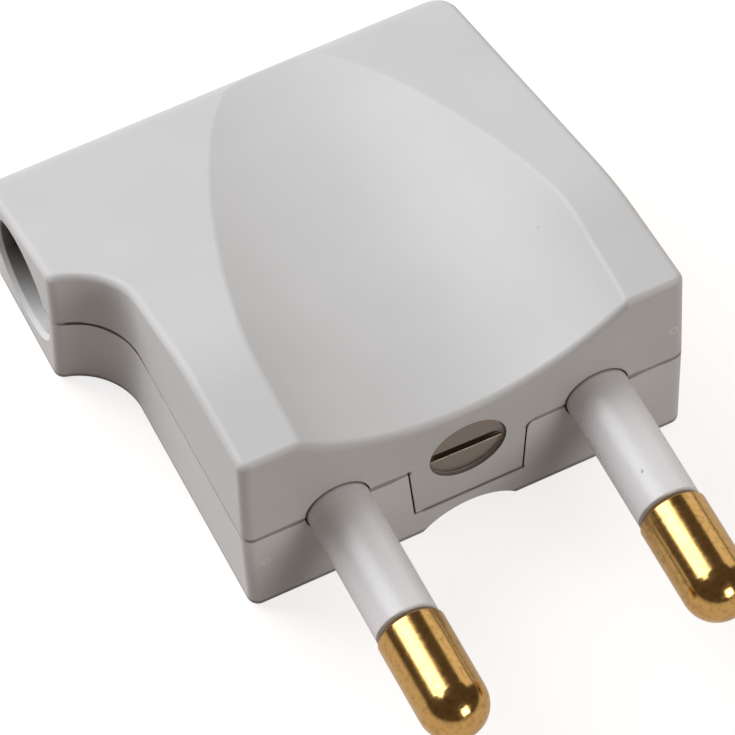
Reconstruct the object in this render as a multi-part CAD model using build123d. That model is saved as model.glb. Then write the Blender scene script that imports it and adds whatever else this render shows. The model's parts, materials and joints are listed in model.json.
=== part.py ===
from build123d import *
import math
import os

# Angled rewirable plug with two sleeved pins, in millimetres.
# +X runs along the row of pins, +Y from the front face to the back, +Z up.
# The origin is on the base's underside, midway along the body and between the pins.
# The two moulded halves part on the plane that holds the pin axes.

# Outside of the housing
body_width = 32.4
body_depth = 32.7
back_taper = 1.45  # how far the right wall leans in by the back
base_height = 8.5
cover_height = 8.9  # over the parting plane, at the front
cover_back_height = 2.15  # over the parting plane, at the back
top_slope = 16.0  # degrees
top_bend = 18.0  # radius between the level front and the sloped back
back_round = 2.2  # radius where the sloped top turns down to the back wall
back_round_past = 0.5  # how far behind the back wall that turn would end
cover_draft = 1.0  # degrees
base_draft = 0.5  # degrees
front_corner = 0.8
back_corner = 2.0
stub_corner = 0.8
top_edge = 0.55
bottom_edge = 0.5
parting_bevel = 0.15  # on both halves, where they meet

# Thumb dish in the cover
dish_radius = 17.5  # across the dish, at the front
dish_back_radius = 25.0  # across the dish, at the back
dish_depth = 4.5  # under the top, at the front
dish_level = 8.4  # length at the front where the dish runs level
dish_fall = 0.11  # lowest line under the end of the sloped top, at the back
dish_ease = 1.5  # power by which the lowest line falls to the back
dish_turn = 1.6  # degrees to the right, in plan
dish_rings = 12  # sections along the dish
dish_edge = 0.5  # rounding all round the dish

# Cord entry in the stub
stub_reach = 4.1  # how far the stub stands out from the left wall
waist_radius = 5.0
waist_lean = 1.2  # how far back the waist's foot lies
cord_bore = 8.3
cord_wall = 1.6
cord_drop = 2.0  # bore axis under the parting plane
cord_lead = 0.4  # bevel at the mouth

# Walls
wall = 1.8
front_wall = 2.0
back_wall = 1.5
roof = 1.25
floor = 2.0
room_corner = 0.6
lip_thickness = 0.8
lip_height = 0.8

# Pins and sleeves
pin_pitch = 19.0
pin_diameter = 4.8
pin_length = 19.0  # front face to tip
pin_shoulder = 0.3  # bevel next to the sleeve
sleeve_diameter = 4.5
sleeve_length = 10.4  # front face to the bare brass
sleeve_edge = 0.25  # bevel next to the brass
neck_diameter = 3.2  # under the sleeve
collar_diameter = 6.4
collar_length = 1.6
saddle_thickness = 2.0
terminal_diameter = 6.0
terminal_length = 8.0
terminal_chamfer = 0.5
wire_hole = 2.6
wire_depth = 6.5

# Screws and nut
thread = 3.0
screw_slot = 0.8
slot_depth = 0.8
closing_head = 5.4
closing_recess = 0.25
closing_length = 9.0
closing_turn = 2.0  # degrees the slot is off level
terminal_head = 4.4
terminal_head_height = 1.2
terminal_lift = 0.1  # head over the pin, with no wire clamped
clamp_head = 5.0
clamp_head_height = 1.6
clamp_screw_length = 5.0
nut_size = 5.5
nut_thickness = 1.8
nut_boss_width = 9.6
nut_boss_wall = 1.6

# Tongue of the cover and the groove under it
tongue_top_width = 8.6
tongue_end_width = 7.9
tongue_depth = 5.3
tongue_gap = 0.12
tongue_root = 0.7  # rounding beside the tongue's right edge
groove_radius = 4.8
groove_rise = 1.9
groove_length = 8.0

# Cord clamp
flex_width = 5.4
flex_thickness = 3.4
clamp_width = 4.0
clamp_thickness = 1.8
clamp_inset = 1.5
clamp_ridge = 0.8
post_diameter = 5.2
post_room = 1.0
pocket_depth = 0.6

# Hooks at the back of the cover
hook_places = (-3.0, 8.0)
hook_width = 5.0
hook_thickness = 1.2
hook_drop = 3.0
hook_nib = 0.6
hook_nib_height = 1.0

# Clearance between pieces that slide together, and how far cutters run past a face
slide = 0.1
past = 1.0

# Places that follow from the sizes
half = body_width / 2
front = -body_depth / 2
back = body_depth / 2
parting = base_height
pins = {"left": -pin_pitch / 2, "right": pin_pitch / 2}
cord_y = back - cord_wall - cord_bore / 2
cord_z = parting - cord_drop
stub_x = -half - stub_reach
room_left = -half + wall
room_front = front + front_wall
room_back = back - back_wall
saddle_front = room_front + collar_length + 2 * slide
saddle_back = saddle_front + saddle_thickness
terminal_back = saddle_back + slide + terminal_length
terminal_y = terminal_back - wire_depth / 2
nut_front = room_front + nut_boss_wall
nut_boss_back = nut_front + nut_thickness + 2 * slide + nut_boss_wall
clamp_x = room_left + clamp_inset + clamp_width / 2
clamp_z = floor + clamp_ridge + flex_thickness
post_y = cord_y - flex_width / 2 - post_room - post_diameter / 2
clamp_front = post_y - post_diameter / 2


def box(x0, x1, y0, y1, z0, z1):
    """A block between two corners."""
    centre = Pos((x0 + x1) / 2, (y0 + y1) / 2, (z0 + z1) / 2)
    return centre * Box(x1 - x0, y1 - y0, z1 - z0)


def rod_y(radius, x, y0, y1, z):
    """A round bar along Y."""
    return Pos(x, (y0 + y1) / 2, z) * Rot(90, 0, 0) * Cylinder(radius, y1 - y0)


def rod_z(radius, x, y, z0, z1):
    """A round bar along Z."""
    return Pos(x, y, (z0 + z1) / 2) * Cylinder(radius, z1 - z0)


def turned(points, x, z):
    """A turned piece about an axis along Y, from (radius, y) points."""
    profile = make_face(Polyline(*points, close=True))
    return Pos(x, 0, z) * revolve(profile, Axis.Y)


def right_wall(y):
    """Where the outer right wall stands at a depth."""
    return half - back_taper * (y - front) / body_depth


def upright(shape, x, y):
    """The wall edge of a half that starts nearest to a point on the parting plane."""
    tall = shape.edges().filter_by(lambda edge: abs((edge @ 1 - edge @ 0).Z) > cover_height / 2)
    return tall.sort_by_distance((x, y, parting))[0]


def half_block(height, draft, lean):
    """Outer form over the parting plane: drafted walls, a square front and the waist before the stub."""
    near = front - past
    right_near = right_wall(near)
    right_far = right_wall(back)
    corners = Polyline((stub_x, near), (right_near, near), (right_far, back), (stub_x, back), close=True)
    form = extrude(Pos(0, 0, parting) * make_face(corners), amount=height, taper=draft)

    tip_y = cord_y - cord_bore / 2 - cord_wall
    waist_y = tip_y - math.sqrt(waist_radius**2 - (waist_radius - stub_reach) ** 2)
    clear_x = stub_x - stub_reach
    clear_y = near - past
    waist = TangentArc((-half, waist_y), (stub_x, tip_y), tangent=(0, 1))
    beside = Polyline(
        (stub_x, tip_y), (clear_x, tip_y), (clear_x, clear_y), (-half, clear_y), (-half, waist_y)
    )
    inset = height * math.tan(math.radians(draft))
    way = Vector(inset, lean, height)
    form -= extrude(Pos(0, 0, parting) * make_face(waist + beside), amount=way.length, dir=way)

    form &= box(stub_x, half, front, back, parting, parting + height)
    form = fillet([upright(form, -half, front), upright(form, half, front)], front_corner)
    form = fillet(upright(form, right_far, back), back_corner)
    form = fillet([upright(form, stub_x, back), upright(form, stub_x, tip_y)], stub_corner)
    return chamfer(form.edges().group_by(Axis.Z)[0], parting_bevel)


def room(grow, z):
    """Outline of the wire room inside the walls, made larger by a margin."""
    left = room_left - grow
    near = room_front - grow
    far = room_back + grow
    right_near = right_wall(near) - wall + grow
    right_far = right_wall(far) - wall + grow
    corners = Polyline((left, near), (right_near, near), (right_far, far), (left, far), close=True)
    face = make_face(corners)
    return Pos(0, 0, z) * fillet(face.vertices(), room_corner + grow)


def top_space(drop):
    """Everything under the cover's curved top, lowered by a thickness."""
    top = parting + cover_height - drop
    end = parting + cover_back_height - drop
    fall = math.tan(math.radians(top_slope))
    bend_y = back - (top - end) / fall
    over = body_depth
    turn_y = back + back_round_past
    turn = end - back_round_past * fall
    curve = FilletPolyline(
        (front - over, top), (bend_y, top), (turn_y, turn), (turn_y, -over), radius=[top_bend, back_round]
    )
    rest = Polyline(curve @ 1, (front - over, -over), curve @ 0)
    return extrude(Plane.YZ * make_face(curve + rest), amount=body_width, both=True)


def dish(grow):
    """The thumb dish: round across, wider and falling towards the back, made larger by a thickness."""
    high = parting + cover_height - dish_depth
    low = parting + cover_back_height - dish_fall
    over = body_depth / 4
    step = (body_depth + 2 * over) / (dish_rings - 1)
    rings = []
    for count in range(dish_rings):
        ahead = count * step - over
        share = max(0, (ahead - dish_level) / (body_depth - dish_level))
        radius = dish_radius + (dish_back_radius - dish_radius) * share
        centre = (0, ahead, high + (low - high) * share**dish_ease + radius)
        rings.append(Plane(origin=centre, x_dir=(1, 0, 0), z_dir=(0, 1, 0)) * Circle(radius + grow))
    return Pos(0, front, 0) * Rot(0, 0, -dish_turn) * loft(rings)


def tongue(grow, y0, y1):
    """The cover's front tongue with its rounded root, made larger by a gap."""
    root = parting + past
    side = tongue_top_width / 2 + grow
    foot = tongue_end_width / 2 + grow
    end = parting - tongue_depth - grow
    right = side + tongue_root
    outline = make_face(
        Polyline(
            (-side, root), (-side, parting), (-foot, end), (foot, end),
            (side, parting), (right, parting), (right, root), close=True,
        )
    )
    outline = fillet(outline.vertices().sort_by_distance((side, parting))[0], tongue_root)
    return extrude(Plane(origin=(0, y0, 0), x_dir=(1, 0, 0), z_dir=(0, -1, 0)) * outline, amount=y0 - y1)


def cord_hole():
    """The cord's bore through the stub, bevelled at its mouth."""
    radius = cord_bore / 2
    mouth = stub_x - past
    inside = room_left + room_corner
    profile = Polyline(
        (mouth, 0), (mouth, radius + cord_lead + past), (stub_x + cord_lead, radius),
        (inside, radius), (inside, 0), close=True,
    )
    return Pos(0, cord_y, cord_z) * revolve(make_face(profile), Axis.X)


def pin_holes():
    """Holes for the sleeves in the front wall and for the pins in the saddles."""
    holes = Part()
    for x in pins.values():
        holes += rod_y(sleeve_diameter / 2 + slide, x, front - past, room_front + slide, parting)
        holes += rod_y(pin_diameter / 2 + slide, x, saddle_front - slide, saddle_back + slide, parting)
    return holes


def saddles(z0, z1):
    """The cross wall that carries the pins behind their collars."""
    return box(-half, half, saddle_front, saddle_back, z0, z1)


def nut_boss(grow):
    """The block behind the tongue that holds the nut, made larger by a gap."""
    side = nut_boss_width / 2 + grow
    return box(-side, side, room_front, nut_boss_back + grow, floor / 2, parting + nut_size / 2 + grow)


def nut_slot():
    """Slot that the nut drops into, and the screw's way through the boss."""
    side = nut_size / 2 + slide
    slot_back = nut_front + nut_thickness + 2 * slide
    slot = box(-side, side, nut_front, slot_back, parting - side, parting + nut_size)
    return slot + rod_y(thread / 2 + slide, 0, room_front - past, nut_boss_back + past, parting)


def finger_groove():
    """Shallow groove under the tongue that runs out along the underside."""
    lean = math.degrees(math.atan2(groove_rise, groove_length))
    length = 2 * body_depth
    ridge = Pos(0, front, groove_rise) * Rot(-lean, 0, 0)
    return ridge * rod_y(groove_radius, 0, -length / 2, length / 2, -groove_radius)


def lip(grow):
    """Locating lip on the wall's inner edge, clear of the pins and of the cord."""
    ring = extrude(room(lip_thickness + grow, parting) - room(0, parting), amount=lip_height + grow)
    ring -= box(stub_x, half, front, nut_boss_back - grow, parting, parting + cover_height)
    cord_front = cord_y - cord_bore / 2 - lip_thickness + grow
    cord_right = room_left + room_corner - grow
    return ring - box(stub_x, cord_right, cord_front, back, parting, parting + cover_height)


def hooks(grow):
    """Toes of the cover's back hooks, made larger by a gap."""
    toes = Part()
    low = parting - hook_drop
    for x in hook_places:
        side = hook_width / 2 + grow
        start = room_back - slide
        end = start + hook_nib + grow
        toes += box(x - side, x + side, start, end, low - grow, low + hook_nib_height + grow)
    return toes


def clamp_bar(grow):
    """Bar over the cord, from the post into a pocket in the back wall."""
    side = clamp_width / 2 + grow
    bar_back = room_back + pocket_depth - slide + grow
    top = clamp_z + clamp_thickness + grow
    return box(clamp_x - side, clamp_x + side, clamp_front, bar_back, clamp_z - grow, top)


def base_block():
    """The base's outer form, rounded underneath."""
    form = mirror(half_block(base_height, base_draft, waist_lean), about=Plane.XY.offset(parting))
    return fillet(form.edges().group_by(Axis.Z)[0], bottom_edge)


def cover_block():
    """The cover's outer form: curved top, rounded edges and the thumb dish."""
    form = half_block(cover_height + past, cover_draft, 0) & top_space(0)
    tops = [face for face in form.faces() if face.normal_at().Z > 0.5]
    walls = [face for face in form.faces() if abs(face.normal_at().Z) < 0.3]
    wall_edges = [edge for face in walls for edge in face.edges()]
    rim = [edge for face in tops for edge in face.edges() if edge in wall_edges]
    plain = fillet(rim, top_edge)
    trough = dish(0)
    form = plain - trough
    return fillet(new_edges(plain, trough, combined=form), dish_edge)


def make_base(form):
    """Lower half: shell with saddles, nut boss, clamp post, cord ridge and lip."""
    shell = form - extrude(room(0, floor), amount=base_height)
    shell += saddles(floor / 2, parting) & form
    shell += nut_boss(0)
    shell += rod_z(post_diameter / 2, clamp_x, post_y, floor / 2, clamp_z)
    side = clamp_ridge / 2
    shell += box(clamp_x - side, clamp_x + side, post_y, room_back + slide, floor / 2, floor + clamp_ridge)
    shell += lip(0)
    shell -= tongue(tongue_gap, front - past, room_front)
    shell -= pin_holes() + nut_slot() + finger_groove() + cord_hole()
    shell -= hooks(slide)
    shell -= clamp_bar(slide) & box(stub_x, half, room_back - slide, back, 0, parting)
    shell -= rod_z(thread / 2, clamp_x, post_y, floor, clamp_z + past)
    return shell


def make_cover(form):
    """Upper half: shell with saddles, tongue and back hooks."""
    space = extrude(room(0, parting), amount=cover_height) & top_space(roof)
    shell = form - (space - dish(roof))
    shell += saddles(parting, parting + cover_height) & form
    shell -= nut_boss(slide)
    shell += tongue(0, front, room_front - slide)
    top = parting + cover_height
    for x in hook_places:
        left = x - hook_width / 2
        right = x + hook_width / 2
        leg_back = room_back - slide
        leg_front = leg_back - hook_thickness
        leg = box(left, right, leg_front, leg_back, parting - hook_drop, parting)
        neck = box(left, right, leg_front, leg_back, parting, top)
        root = box(left, right, leg_front, room_back, parting + lip_height + slide, top)
        shell += leg + ((neck + root) & form)
    shell += hooks(0)
    shell -= lip(slide)
    shell -= pin_holes() + cord_hole() + screw_way()
    return shell


def countersunk(grow, head_y, end_y):
    """Points of a countersunk screw or its hole."""
    head = closing_head / 2 + grow
    shank = thread / 2 + grow
    rim_y = front + closing_recess
    cone_y = rim_y + head - shank
    return [(0, head_y), (head, head_y), (head, rim_y), (shank, cone_y), (shank, end_y), (0, end_y)]


def screw_way():
    """Countersunk hole through the tongue."""
    return turned(countersunk(slide, front - past, room_front + past), 0, parting)


def make_closing_screw():
    """Slotted countersunk screw through the tongue."""
    start = front + closing_recess
    points = countersunk(0, start, start + closing_length)
    points.pop(1)
    screw = turned(points, 0, parting)
    reach = closing_head
    slot = box(-reach, reach, start - past, start + slot_depth, -screw_slot / 2, screw_slot / 2)
    return screw - Pos(0, 0, parting) * Rot(0, closing_turn, 0) * slot


def make_nut():
    """Square nut in the boss."""
    side = nut_size / 2
    middle = nut_front + slide
    block = box(-side, side, middle, middle + nut_thickness, parting - side, parting + side)
    return block - rod_y(thread / 2, 0, nut_front - past, nut_boss_back, parting)


def slotted_screw(head_diameter, head_height, length):
    """Slotted cheese-head screw, head up, with the head's underside at the origin."""
    head = rod_z(head_diameter / 2, 0, 0, 0, head_height)
    head = chamfer(head.edges().group_by(Axis.Z)[-1], head_height / 5)
    shank = rod_z(thread / 2, 0, 0, -length, 0)
    reach = head_diameter
    side = screw_slot / 2
    return head + shank - box(-reach, reach, -side, side, head_height - slot_depth, head_height + past)


def make_pin(x):
    """Turned brass pin: round tip, neck for the sleeve, collar and drilled terminal end."""
    radius = pin_diameter / 2
    tip = front - pin_length
    bare = front - sleeve_length
    neck = neck_diameter / 2
    collar = collar_diameter / 2
    end = terminal_diameter / 2
    collar_front = room_front + slide
    collar_back = collar_front + collar_length
    terminal_front = saddle_back + slide
    nose = RadiusArc((0, tip), (radius, tip + radius), -radius)
    turning = Polyline(
        nose @ 1, (radius, bare - pin_shoulder), (radius - pin_shoulder, bare), (neck, bare),
        (neck, collar_front), (collar, collar_front), (collar, collar_back), (radius, collar_back),
        (radius, terminal_front), (end, terminal_front), (end, terminal_back - terminal_chamfer),
        (end - terminal_chamfer, terminal_back), (0, terminal_back), (0, tip),
    )
    pin = revolve(make_face(nose + turning), Axis.Y)
    pin -= rod_y(wire_hole / 2, 0, terminal_back - wire_depth, terminal_back + past, 0)
    pin -= rod_z(thread / 2, 0, terminal_y, 0, end + past)
    return Pos(x, 0, parting) * pin


def make_sleeve(x):
    """Insulating sleeve on the pin's neck, reaching into the front wall."""
    outer = sleeve_diameter / 2
    inner = neck_diameter / 2
    start = front - sleeve_length
    points = [(inner, start), (outer - sleeve_edge, start), (outer, start + sleeve_edge)]
    return turned(points + [(outer, room_front), (inner, room_front)], x, parting)


def make_clamp_bar():
    """Cord clamp bar with its screw hole and pressing ridge."""
    side = clamp_ridge / 2
    press = flex_width / 2
    low = clamp_z - clamp_ridge
    bar = clamp_bar(0)
    bar += box(clamp_x - side, clamp_x + side, cord_y - press, cord_y + press, low, clamp_z + slide)
    return bar - rod_z(thread / 2 + slide, clamp_x, post_y, 0, parting + cover_height)


os.makedirs("parts", exist_ok=True)
terminal_top = parting + terminal_diameter / 2 + terminal_lift
nodes = {
    "base": make_base(base_block()),
    "cover": make_cover(cover_block()),
    "closing_screw": make_closing_screw(),
    "closing_nut": make_nut(),
    "cord_clamp_bar": make_clamp_bar(),
    "cord_clamp_screw": Pos(clamp_x, post_y, clamp_z + clamp_thickness)
    * slotted_screw(clamp_head, clamp_head_height, clamp_screw_length),
}
for name, x in pins.items():
    nodes["pin_" + name] = make_pin(x)
    nodes["sleeve_" + name] = make_sleeve(x)
    nodes["terminal_screw_" + name] = Pos(x, terminal_y, terminal_top) * slotted_screw(
        terminal_head, terminal_head_height, terminal_diameter / 2 + terminal_lift
    )
for name, shape in nodes.items():
    export_step(shape, "parts/" + name + ".step")
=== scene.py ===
import json
import math

import bmesh
import bpy
from mathutils import Matrix, Vector


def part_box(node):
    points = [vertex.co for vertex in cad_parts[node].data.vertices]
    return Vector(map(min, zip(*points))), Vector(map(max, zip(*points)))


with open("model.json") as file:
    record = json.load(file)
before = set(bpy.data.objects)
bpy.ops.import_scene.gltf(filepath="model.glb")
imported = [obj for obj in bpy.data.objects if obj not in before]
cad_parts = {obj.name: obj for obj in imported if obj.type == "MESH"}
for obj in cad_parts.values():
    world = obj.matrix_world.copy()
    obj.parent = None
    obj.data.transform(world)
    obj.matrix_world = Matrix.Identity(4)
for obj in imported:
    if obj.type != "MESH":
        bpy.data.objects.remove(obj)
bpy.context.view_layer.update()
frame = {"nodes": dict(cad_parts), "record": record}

# Finishes, studio and camera for a flat two-pin plug with a side cord entry.
# Lengths are metres, in the part's own frame: pins point along -Y, the plug lies on the plane z = 0.
mm = 0.001

# Colours, linear
white = (1, 1, 1)
plastic_colour = (0.645, 0.652, 0.655)
base_painted_lightness = 1.11  # of the base, against the cover; the base is painted lighter in place of the extra light on its walls
sleeve_colour = (0.835, 0.835, 0.845)
clamp_colour = (0.22, 0.21, 0.20)
# painted shade on the mouldings, and the zinc's dull grime
shade_and_grime_colour = (0.16, 0.125, 0.10)
# painted shade inside the cord's bore
bore_shade_colour = (0.045, 0.024, 0.012)
rubbed_colour = (0.95, 0.94, 0.92)
mould_mark_colour = (0.9, 0.9, 0.9)
brass_colour = (0.73, 0.45, 0.155)
tarnish_colour = (0.26, 0.125, 0.04)
nickel_colour = (0.30, 0.255, 0.215)
# painted highlight on the screw's edges
nickel_highlight_colour = (0.72, 0.62, 0.48)
old_nickel_colour = (0.30, 0.22, 0.13)
zinc_colour = (0.60, 0.61, 0.62)
floor_colour = (0.35, 0.30, 0.275)
room_colour = (0.085, 0.066, 0.054)

# Gloss and grain of the mouldings
plastic_roughness = 0.46
sleeve_roughness = 0.30
clamp_roughness = 0.60
moulded_roughness_spread = 0.05
plastic_grain_depth = 0.012 * mm
sleeve_grain_depth = 0.004 * mm
clamp_grain_depth = 0.02 * mm
grain_size = 0.16 * mm
grain_strength = 0.35
mottle_size = 7 * mm
mottle_share = 0.02  # lighter and darker by this much
speck_lightness = 0.5

# Gloss and grain of the metals; dullness is how much tarnish there is, 0 to 1
brass_roughness = 0.15
brass_dullness = 0.5
nickel_roughness = 0.35
nickel_dullness = 0.3
zinc_roughness = 0.34
zinc_dullness = 0.2
metal_roughness_spread = (-0.04, 0.08)
turning_pitch = 0.07 * mm
turning_stretch = (0.12, 1, 0.12)
turning_depth = 0.004 * mm
turning_strength = 0.3
tarnish_size = 0.35 * mm
tarnish_band = (0.5, 0.75)
metal_speck_spacing = 0.9 * mm
metal_speck_share = 0.12
metal_speck_size = 0.07  # against their spacing
gap_metallic = 0.3  # less metal and more dirt in narrow gaps

# Edges and gaps
moulded_edge = 0.10 * mm
metal_edge = 0.06 * mm
# edges painted bright as highlights on the screw
highlight_edge = 0.10 * mm
highlight_edge_band = (0.75, 0.98)  # likeness of the rounded normal and the face's own
bevel_samples = 4
crevice_reach = 0.35 * mm
crevice_band = (0.25, 0.8)
crevice_samples = 6
noise_band = (0.3, 0.7)  # where nearly all values of a noise lie


def middle(name):
    """Middle of a node's box."""
    low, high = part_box(name)
    return (low + high) / 2


def mount(name):
    """A mount of the part, by name."""
    return next(entry for entry in frame["record"]["mounts"] if entry["name"] == name)


# Places on the part
parting_height = middle("sleeve_left").z
screw_place = middle("closing_screw")
screw_hole_radius = 2.82 * mm
front_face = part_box("cover")[0].y
front_depth = 1 * mm  # what lies less deep is on the front
left_side = -15.5 * mm  # what lies further left is on the left wall, the waist or the stub
left_wall_middle = -7.2 * mm  # along Y
left_wall_half = 7.8 * mm
waist_middle = 4 * mm  # along Y
stub_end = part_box("cover")[0].x
bore_middle = Vector(mount("cord_entry")["pos_m"])
bore_radius = mount("cord_entry")["dims"]["r_mm"] * mm
tongue_middle = 0.35 * mm
tongue_half_width = 4.5 * mm
tongue_end_half_width = 3.8 * mm
tongue_end = 3.14 * mm  # along Z
tongue_root_middle = (5.01 * mm, 7.8 * mm)  # along X and Z
tongue_root_radius = 0.7 * mm

# Painted shade: amounts are 0 to 1, and pairs of lengths are where a fade begins and ends
seam_shade_front = 0.8
seam_shade_elsewhere = 0.45
seam_shade_stub_end = 0.2
seam_half_width = (0.20 * mm, 0.32 * mm)  # narrowest and widest
seam_unevenness = 1.6 * mm
seam_width_band = (0.35, 0.65)
seam_solid_share = 0.6  # of its width
seam_front_fade = 0.6 * mm
seam_waist_fade = (3.5 * mm, 7 * mm)
seam_stub_fade = (0.2 * mm, 0.9 * mm)
edge_shade = 0.75
tongue_line_fade = (0.08 * mm, 0.30 * mm)
tongue_root_fade = (0.08 * mm, 0.20 * mm)
foot_fade = (0.55 * mm, 0.85 * mm)
underside_fade = (0.1 * mm, 0.4 * mm)
bore_margin = 0.05 * mm
bore_shade_mouth = 0.7
bore_shade_lip = 0.1
bore_mouth_fade = (0.3 * mm, 1.2 * mm)
bore_lip_fade = (-3.9 * mm, -1.6 * mm)  # from the bore's middle
screw_hole_shade_amount = 0.9

# Rubbed patches under the seam on the left wall
rubbed_drop = 0.25 * mm
rubbed_height = 0.45 * mm
rubbed_share = 0.5
rubbed_size = 0.9 * mm  # about as long as a patch
rubbed_band = (0.47, 0.65)

# Small marks on the mouldings, as they are in the photo; their places are in millimetres
mould_marks = ((-14.88, -16.35, 5.34), (15.19, -16.35, 11.85))
plastic_specks = ((9.8, -7.25, 15.75), (-16.2, -1.2, 8.1), (-11.65, -16.35, 8.35), (12.0, -16.35, 8.4))
sleeve_specks = ((8.67, -24.23, 10.59),)
mould_mark_radius = 0.30 * mm
mould_mark_fade = (0.03 * mm, 0.13 * mm)
mould_mark_share = 0.7
mould_mark_height = 4.0  # against the grain's
speck_radius = 0.13 * mm
speck_reach = (0.4 * speck_radius, 1.3 * speck_radius)

# Camera, from the perspective of the photo
aim = Vector((-3.1, -7.7, 8.5)) * mm
camera_azimuth = math.radians(-23.6)
camera_elevation = math.radians(57.4)
camera_roll = math.radians(3.12)
camera_distance = 330.9 * mm
camera_lens = 244.4
sensor_width = 36
nearest_seen = 0.01
farthest_seen = 10

# Studio
floor_radius = 2.0
floor_roughness = 0.9
floor_gap = 0.05 * mm
floor_lift = 0.80  # light of its own that the camera sees
mirrored_floor_lift = 0.36  # the same, in mirror images
mirrored_room = 1.1  # brightness of the room in mirror images
cove_radius = 0.08
cove_height = 0.20
cove_steps = 8
floor_steps = 96

# Lamps: name, place, size, brightness with 1 as white, colour, and whether they are mirrored in the part
lamps = (
    ("soft_box", (-0.35, 0.53, 0.70), (0.73, 0.63), 4.35, (0.98, 1, 1.03), True),
    ("front_lamp", (0.24, -0.80, 0.41), (0.34, 0.34), 7.2, (1, 0.955, 0.91), True),
    ("side_board", (0.76, 0.50, 0.43), (0.62, 0.55), 0.80, (1, 0.98, 0.96), True),
    ("left_card", (-0.47, 0.68, 0.22), (0.50, 0.36), 6.2, (1, 0.985, 0.97), False),
    ("right_card", (0.75, 0.12, 0.42), (0.40, 0.40), 2.6, (1, 0.99, 0.98), False),
)


def add(tree, kind, values=None, links=None, **settings):
    """Adds a node with its settings, fixed inputs and incoming links."""
    node = tree.nodes.new(kind)
    for name, value in settings.items():
        setattr(node, name, value)
    for socket, value in (values or {}).items():
        node.inputs[socket].default_value = value
    for socket, source in (links or {}).items():
        tree.links.new(source, node.inputs[socket])
    return node


def new_material(name):
    """A new material with its node tree and its shader."""
    material = bpy.data.materials.new(name)
    material.use_nodes = True
    tree = material.node_tree
    return material, tree, tree.nodes["Principled BSDF"]


def places(tree):
    """Coordinates in the part's frame, in metres."""
    return add(tree, "ShaderNodeTexCoord").outputs["Object"]


def parts_of(tree, source):
    """The coordinates one by one."""
    return add(tree, "ShaderNodeSeparateXYZ", None, {"Vector": source}).outputs


def stretched(tree, source, scale):
    """The coordinates scaled along each axis, for grain that runs one way."""
    return add(tree, "ShaderNodeMapping", {"Scale": scale}, {"Vector": source}).outputs["Vector"]


def noise(tree, source, size, detail):
    """Noise whose blotches are about as wide as size."""
    values = {"Scale": 1 / size, "Detail": detail}
    return add(tree, "ShaderNodeTexNoise", values, {"Vector": source}).outputs["Fac"]


def ranged(tree, source, low, high, to_low, to_high):
    """Maps low..high to to_low..to_high and stops there."""
    values = {"From Min": low, "From Max": high, "To Min": to_low, "To Max": to_high}
    return add(tree, "ShaderNodeMapRange", values, {"Value": source}).outputs["Result"]


def blended(tree, factor, first, second):
    """Colour between first and second; each is a colour or a socket."""
    node = add(tree, "ShaderNodeMix", None, {0: factor}, data_type="RGBA")
    for socket, colour in ((node.inputs[6], first), (node.inputs[7], second)):
        if isinstance(colour, tuple):
            socket.default_value = (*colour, 1)
        else:
            tree.links.new(colour, socket)
    return node.outputs[2]


def tinted(colour, share):
    """The colour made lighter or darker."""
    return tuple(channel * share for channel in colour)


def combined(tree, operation, first, second):
    """Math on two sockets, or on a socket and a number."""
    node = add(tree, "ShaderNodeMath", operation=operation)
    for socket, value in zip(node.inputs, (first, second)):
        if isinstance(value, (int, float)):
            socket.default_value = value
        else:
            tree.links.new(value, socket)
    return node.outputs[0]


def under(tree, value, limit):
    """1 where a value is under a limit, 0 elsewhere."""
    return combined(tree, "LESS_THAN", value, limit)


def over(tree, value, limit):
    """1 where a value is over a limit, 0 elsewhere."""
    return combined(tree, "GREATER_THAN", value, limit)


def apart(tree, value, centre):
    """How far a value is from a centre, on either side."""
    return combined(tree, "ABSOLUTE", combined(tree, "SUBTRACT", value, centre), 0)


def largest(tree, values):
    """The largest of several values."""
    result = values[0]
    for value in values[1:]:
        result = combined(tree, "MAXIMUM", result, value)
    return result


def product(tree, values):
    """Several values multiplied together."""
    result = values[0]
    for value in values[1:]:
        result = combined(tree, "MULTIPLY", result, value)
    return result


def away(tree, source, place):
    """Distance from a place given in millimetres."""
    values = {1: Vector(place) * mm}
    return add(tree, "ShaderNodeVectorMath", values, {0: source}, operation="DISTANCE").outputs["Value"]


def off_axis(tree, first, second, centre):
    """Distance from an axis, from the two coordinates across it."""
    squares = []
    for value, axis_place in zip((first, second), centre):
        squares.append(combined(tree, "POWER", apart(tree, value, axis_place), 2.0))
    return combined(tree, "SQRT", combined(tree, "ADD", *squares), 0)


def crevice(tree):
    """1 in narrow gaps and inner corners, where shade falls, 0 in the open; on the mouldings it is
    painted shade.
    """
    values = {"Distance": crevice_reach}
    hidden = add(tree, "ShaderNodeAmbientOcclusion", values, samples=crevice_samples).outputs["AO"]
    return ranged(tree, hidden, *crevice_band, 1, 0)


def rounded_normal(tree, edge):
    """The surface's normal with its edges rounded off."""
    return add(tree, "ShaderNodeBevel", {"Radius": edge}, samples=bevel_samples).outputs["Normal"]


def rounded_bump(tree, height, strength, depth, edge):
    """Bump on top of edges that are rounded off a little."""
    values = {"Strength": strength, "Distance": depth}
    links = {"Height": height, "Normal": rounded_normal(tree, edge)}
    return add(tree, "ShaderNodeBump", values, links).outputs["Normal"]


def edge_highlights(tree):
    """1 along edges that are painted bright as highlights, 0 on the faces."""
    flat = add(tree, "ShaderNodeNewGeometry").outputs["True Normal"]
    links = {0: rounded_normal(tree, highlight_edge), 1: flat}
    likeness = add(tree, "ShaderNodeVectorMath", None, links, operation="DOT_PRODUCT").outputs["Value"]
    return ranged(tree, likeness, *highlight_edge_band, 1, 0)


def placed_specks(tree, source, spots):
    """1 in small uneven specks at given places."""
    ragged = noise(tree, source, speck_radius, detail=2)
    reach = ranged(tree, ragged, *noise_band, *speck_reach)
    return largest(tree, [under(tree, away(tree, source, spot), reach) for spot in spots])


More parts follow.
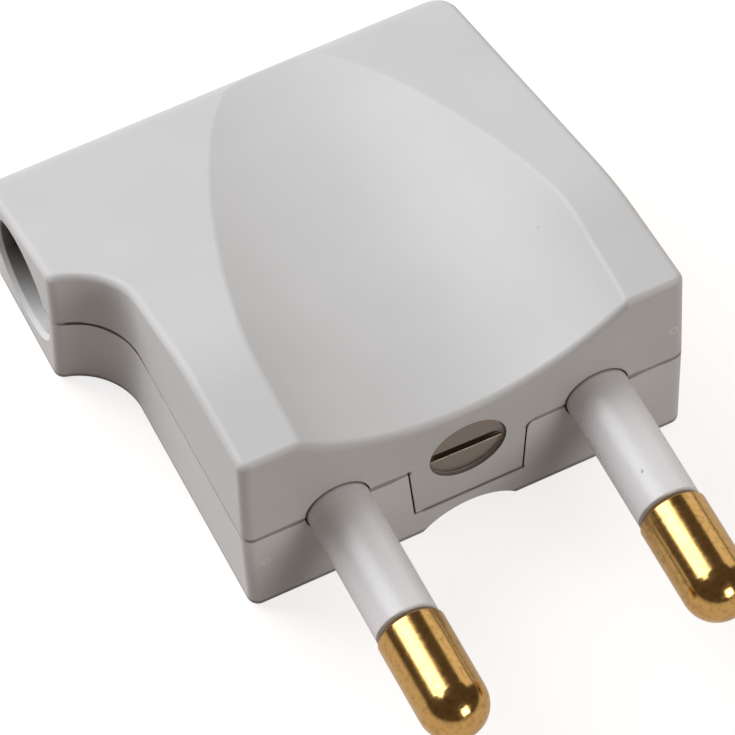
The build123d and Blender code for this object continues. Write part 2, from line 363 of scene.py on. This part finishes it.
def scattered_specks(tree, source):
    """1 in a few small spots of uneven size, 0 elsewhere."""
    cells = add(tree, "ShaderNodeTexVoronoi", {"Scale": 1 / metal_speck_spacing}, {"Vector": source})
    chosen = add(tree, "ShaderNodeSeparateColor", None, {"Color": cells.outputs["Color"]})
    size = ranged(tree, chosen.outputs[0], 1 - metal_speck_share, 1, 0, metal_speck_size)
    return under(tree, cells.outputs["Distance"], size)


def mould_rings(tree, source):
    """1 on the small round marks left by the mould."""
    rings = []
    for place in mould_marks:
        off = apart(tree, away(tree, source, place), mould_mark_radius)
        rings.append(ranged(tree, off, *mould_mark_fade, 1, 0))
    return largest(tree, rings)


def seam(tree, source):
    """Painted shade along the line where the halves meet: most on the waist, less in front, little
    elsewhere.
    """
    x, y, z = parts_of(tree, source)
    uneven = noise(tree, source, seam_unevenness, detail=3)
    width = ranged(tree, uneven, *seam_width_band, *seam_half_width)
    off = combined(tree, "DIVIDE", apart(tree, z, parting_height), width)
    line = ranged(tree, off, seam_solid_share, 1, 1, 0)
    beside_tongue = over(tree, apart(tree, x, tongue_middle), tongue_half_width)
    behind_tongue = over(tree, y, 0.0)
    front_end = front_face + seam_front_fade
    plain = ranged(tree, y, front_face, front_end, seam_shade_front, seam_shade_elsewhere)
    plain = product(tree, [plain, largest(tree, [beside_tongue, behind_tongue])])
    on_left = under(tree, x, left_side)
    on_waist = ranged(tree, apart(tree, y, waist_middle), *seam_waist_fade, 1, 0)
    fade_start, fade_end = (stub_end + reach for reach in seam_stub_fade)
    before_end = ranged(tree, x, fade_start, fade_end, seam_shade_stub_end, 1)
    strong = product(tree, [on_left, on_waist, before_end])
    return product(tree, [line, largest(tree, [plain, strong])])


def tongue_line(tree, source):
    """Painted shade along the end of the tongue, on the front face."""
    x, y, z = parts_of(tree, source)
    line = ranged(tree, apart(tree, z, tongue_end), *tongue_line_fade, edge_shade, 0)
    along = under(tree, apart(tree, x, tongue_middle), tongue_end_half_width)
    in_front = under(tree, y, front_face + front_depth)
    return product(tree, [line, along, in_front])


def tongue_root_line(tree, source):
    """Painted shade in the rounding beside the tongue's right edge, on the front face."""
    x, y, z = parts_of(tree, source)
    off = apart(tree, off_axis(tree, x, z, tongue_root_middle), tongue_root_radius)
    line = ranged(tree, off, *tongue_root_fade, edge_shade, 0)
    beside = under(tree, x, tongue_root_middle[0])
    above = over(tree, z, tongue_root_middle[1])
    in_front = under(tree, y, front_face + front_depth)
    return product(tree, [line, beside, above, in_front])


def foot_shade(tree, source):
    """Painted shade along the lowest edge of the walls, with none on the underside."""
    z = parts_of(tree, source)[2]
    low = ranged(tree, z, *foot_fade, edge_shade, 0)
    return product(tree, [low, ranged(tree, z, *underside_fade, 0, 1)])


def screw_hole_shade(tree, source):
    """Painted shade on the rim of the closing screw's hole."""
    x, y, z = parts_of(tree, source)
    rim = under(tree, off_axis(tree, x, z, (screw_place.x, screw_place.z)), screw_hole_radius)
    in_front = ranged(tree, y, front_face, front_face + front_depth, screw_hole_shade_amount, 0)
    return product(tree, [rim, in_front])


def bore_shade(tree, source):
    """Painted shade in the cord's bore: none at the lower lip, dark inside and above."""
    x, y, z = parts_of(tree, source)
    inside = under(tree, off_axis(tree, y, z, bore_middle.yz), bore_radius + bore_margin)
    in_stub = under(tree, x, left_side + bore_radius)
    fade_start, fade_end = (stub_end + reach for reach in bore_mouth_fade)
    deep = ranged(tree, x, fade_start, fade_end, bore_shade_mouth, 1)
    lip_low, lip_high = (bore_middle.z + reach for reach in bore_lip_fade)
    high = ranged(tree, z, lip_low, lip_high, bore_shade_lip, 1)
    return product(tree, [inside, in_stub, deep, high])


def rubbed_edge(tree, source):
    """Light uneven patches where the base's upper edge is rubbed, along the left wall."""
    x, y, z = parts_of(tree, source)
    uneven = noise(tree, source, rubbed_size, detail=4)
    reach = ranged(tree, uneven, *rubbed_band, 0, rubbed_height)
    depth = combined(tree, "SUBTRACT", parting_height - rubbed_drop, z)
    below_seam = over(tree, depth, 0.0)
    within = under(tree, depth, reach)
    on_left = under(tree, x, left_side)
    on_wall = under(tree, apart(tree, y, left_wall_middle), left_wall_half)
    return product(tree, [below_seam, within, on_left, on_wall, rubbed_share])


def moulded(name, colour, roughness, grain_depth, spots=(), housing=False):
    """Moulded plastic: fine grain, faint mottling, painted shade in the gaps, specks, and on the housing
    its mould marks, rubbed patches, and painted shade along the seam, the tongue, the foot, the screw's
    hole and inside the bore.
    """
    material, tree, shader = new_material(name)
    here = places(tree)
    mottle = ranged(tree, noise(tree, here, mottle_size, detail=4), *noise_band, 0, 1)
    body = blended(tree, mottle, tinted(colour, 1 - mottle_share), tinted(colour, 1 + mottle_share))
    if spots:
        body = blended(tree, placed_specks(tree, here, spots), body, tinted(colour, speck_lightness))
    # painted shade in narrow gaps and inner corners
    painted_shade = crevice(tree)
    grain = noise(tree, here, grain_size, detail=3)
    height = grain
    if housing:
        body = blended(tree, rubbed_edge(tree, here), body, rubbed_colour)
        # painted shade inside the cord's bore
        body = blended(tree, bore_shade(tree, here), body, bore_shade_colour)
        rings = mould_rings(tree, here)
        body = blended(tree, product(tree, [rings, mould_mark_share]), body, mould_mark_colour)
        height = combined(tree, "ADD", grain, product(tree, [rings, mould_mark_height]))
        # painted shade along the seam, at the tongue's edges, along the foot and round the screw's hole
        lines = (seam, tongue_line, tongue_root_line, foot_shade, screw_hole_shade)
        painted_shade = largest(tree, [painted_shade] + [line(tree, here) for line in lines])
    tree.links.new(blended(tree, painted_shade, body, shade_and_grime_colour), shader.inputs["Base Color"])
    dullest = roughness + moulded_roughness_spread
    dulling = ranged(tree, grain, *noise_band, roughness - moulded_roughness_spread, dullest)
    tree.links.new(dulling, shader.inputs["Roughness"])
    bump = rounded_bump(tree, height, grain_strength, grain_depth, moulded_edge)
    tree.links.new(bump, shader.inputs["Normal"])
    return material


def turned_metal(name, colour, dull_colour, roughness, dullness, highlight_colour=None):
    """Metal turned along Y: fine rings, cloudy tarnish, dull spots and gaps, and edges painted bright as
    highlights.
    """
    material, tree, shader = new_material(name)
    here = places(tree)
    rings = noise(tree, stretched(tree, here, turning_stretch), turning_pitch, detail=3)
    cloud = ranged(tree, noise(tree, here, tarnish_size, detail=6), *tarnish_band, 0, dullness)
    clouded = blended(tree, cloud, colour, dull_colour)
    spotted = blended(tree, scattered_specks(tree, here), clouded, dull_colour)
    gaps = crevice(tree)
    finish = blended(tree, gaps, spotted, dull_colour)
    if highlight_colour:
        # painted highlight along the edges
        finish = blended(tree, edge_highlights(tree), finish, highlight_colour)
    tree.links.new(finish, shader.inputs["Base Color"])
    tree.links.new(ranged(tree, gaps, 0, 1, 1, gap_metallic), shader.inputs["Metallic"])
    smoothest, dullest = (roughness + spread for spread in metal_roughness_spread)
    tree.links.new(ranged(tree, rings, *noise_band, smoothest, dullest), shader.inputs["Roughness"])
    bump = rounded_bump(tree, rings, turning_strength, turning_depth, metal_edge)
    tree.links.new(bump, shader.inputs["Normal"])
    return material


def housing_plastic(name, colour):
    """Finish of one half of the housing."""
    return moulded(name, colour, plastic_roughness, plastic_grain_depth, plastic_specks, True)


def dress_nodes():
    """Gives every CAD node its finish."""
    cover = housing_plastic("cover_plastic", plastic_colour)
    # a lighter copy of the cover's plastic, painted light on the base
    base = housing_plastic("base_plastic_painted_lighter", tinted(plastic_colour, base_painted_lightness))
    sleeve = moulded("sleeve_nylon", sleeve_colour, sleeve_roughness, sleeve_grain_depth, sleeve_specks)
    clamp = moulded("clamp_fibre", clamp_colour, clamp_roughness, clamp_grain_depth)
    brass = turned_metal("pin_brass", brass_colour, tarnish_colour, brass_roughness, brass_dullness)
    nickel = turned_metal("screw_nickel", nickel_colour, old_nickel_colour,
                          nickel_roughness, nickel_dullness, nickel_highlight_colour)
    zinc = turned_metal("inner_zinc", zinc_colour, shade_and_grime_colour, zinc_roughness, zinc_dullness)
    finishes = {
        "base": base,
        "cover": cover,
        "closing_screw": nickel,
        "closing_nut": zinc,
        "cord_clamp_bar": clamp,
        "cord_clamp_screw": zinc,
    }
    for side in ("left", "right"):
        finishes["pin_" + side] = brass
        finishes["sleeve_" + side] = sleeve
        finishes["terminal_screw_" + side] = zinc
    for name, material in finishes.items():
        node = frame["nodes"][name]
        node.data.materials.clear()
        node.data.materials.append(material)


def floor_material():
    """Pale floor that keeps the object's shadow and is lifted to white where it is seen or mirrored."""
    material, tree, shader = new_material("floor_paper")
    shader.inputs["Base Color"].default_value = (*floor_colour, 1)
    shader.inputs["Roughness"].default_value = floor_roughness
    shader.inputs["Emission Color"].default_value = (*white, 1)
    path = add(tree, "ShaderNodeLightPath").outputs
    seen = product(tree, [path["Is Camera Ray"], floor_lift])
    mirrored = largest(tree, [path["Is Glossy Ray"], path["Is Transmission Ray"]])
    lift = largest(tree, [seen, product(tree, [mirrored, mirrored_floor_lift])])
    tree.links.new(lift, shader.inputs["Emission Strength"])
    return material


def make_floor():
    """Round paper floor that turns up into a low wall all round."""
    mesh = bmesh.new()
    flat = floor_radius - cove_radius
    profile = [Vector((0, 0, -floor_gap)), Vector((flat, 0, -floor_gap))]
    for step in range(1, cove_steps + 1):
        turn = step / cove_steps * math.pi / 2
        along = flat + cove_radius * math.sin(turn)
        profile.append(Vector((along, 0, cove_radius * (1 - math.cos(turn)) - floor_gap)))
    profile.append(Vector((floor_radius, 0, cove_height)))
    points = [mesh.verts.new(place) for place in profile]
    edges = [mesh.edges.new(pair) for pair in zip(points, points[1:])]
    bmesh.ops.spin(
        mesh, geom=points + edges, cent=(0, 0, 0), axis=(0, 0, 1), angle=2 * math.pi, steps=floor_steps
    )
    bmesh.ops.remove_doubles(mesh, verts=mesh.verts, dist=floor_gap)
    bmesh.ops.recalc_face_normals(mesh, faces=mesh.faces)
    data = bpy.data.meshes.new("floor")
    mesh.to_mesh(data)
    mesh.free()
    data.materials.append(floor_material())
    floor = bpy.data.objects.new("floor", data)
    bpy.context.collection.objects.link(floor)


def make_lamp(name, place, size, level, colour, mirrored):
    """Rectangular soft lamp at place, facing the part."""
    data = bpy.data.lights.new(name, "AREA")
    data.shape = "RECTANGLE"
    data.size, data.size_y = size
    data.energy = level * math.pi * size[0] * size[1]
    data.color = colour
    lamp = bpy.data.objects.new(name, data)
    lamp.location = place
    lamp.rotation_euler = Vector(place).to_track_quat("Z", "Y").to_euler()
    lamp.visible_camera = False
    lamp.visible_glossy = mirrored
    bpy.context.collection.objects.link(lamp)


def make_room():
    """Dim warm room, a little brighter where it is mirrored."""
    world = bpy.data.worlds.new("room")
    world.use_nodes = True
    tree = world.node_tree
    sky = tree.nodes["Background"]
    sky.inputs["Color"].default_value = (*room_colour, 1)
    mirrored = add(tree, "ShaderNodeLightPath").outputs["Is Glossy Ray"]
    tree.links.new(ranged(tree, mirrored, 0, 1, 1, mirrored_room), sky.inputs["Strength"])
    bpy.context.scene.world = world


def make_studio():
    """Floor, room and lamps: a soft box behind, a lamp in front, a board on the right and two cards."""
    make_floor()
    for lamp in lamps:
        make_lamp(*lamp)
    make_room()


def make_camera():
    """Camera at the photo's angle, rolled a little clockwise."""
    back = Vector((
        math.sin(camera_azimuth) * math.cos(camera_elevation),
        -math.cos(camera_azimuth) * math.cos(camera_elevation),
        math.sin(camera_elevation),
    ))
    side = Vector((0, 0, 1)).cross(back).normalized()
    top = back.cross(side)
    right = side * math.cos(camera_roll) - top * math.sin(camera_roll)
    up = back.cross(right)
    data = bpy.data.cameras.new("photo_camera")
    data.lens = camera_lens
    data.sensor_width = sensor_width
    data.clip_start = nearest_seen
    data.clip_end = farthest_seen
    camera = bpy.data.objects.new("photo_camera", data)
    turn = Matrix((right, up, back)).transposed().to_4x4()
    camera.matrix_world = Matrix.Translation(aim + back * camera_distance) @ turn
    bpy.context.collection.objects.link(camera)
    bpy.context.scene.camera = camera


dress_nodes()
make_studio()
make_camera()
bpy.context.scene.view_settings.view_transform = "Standard"
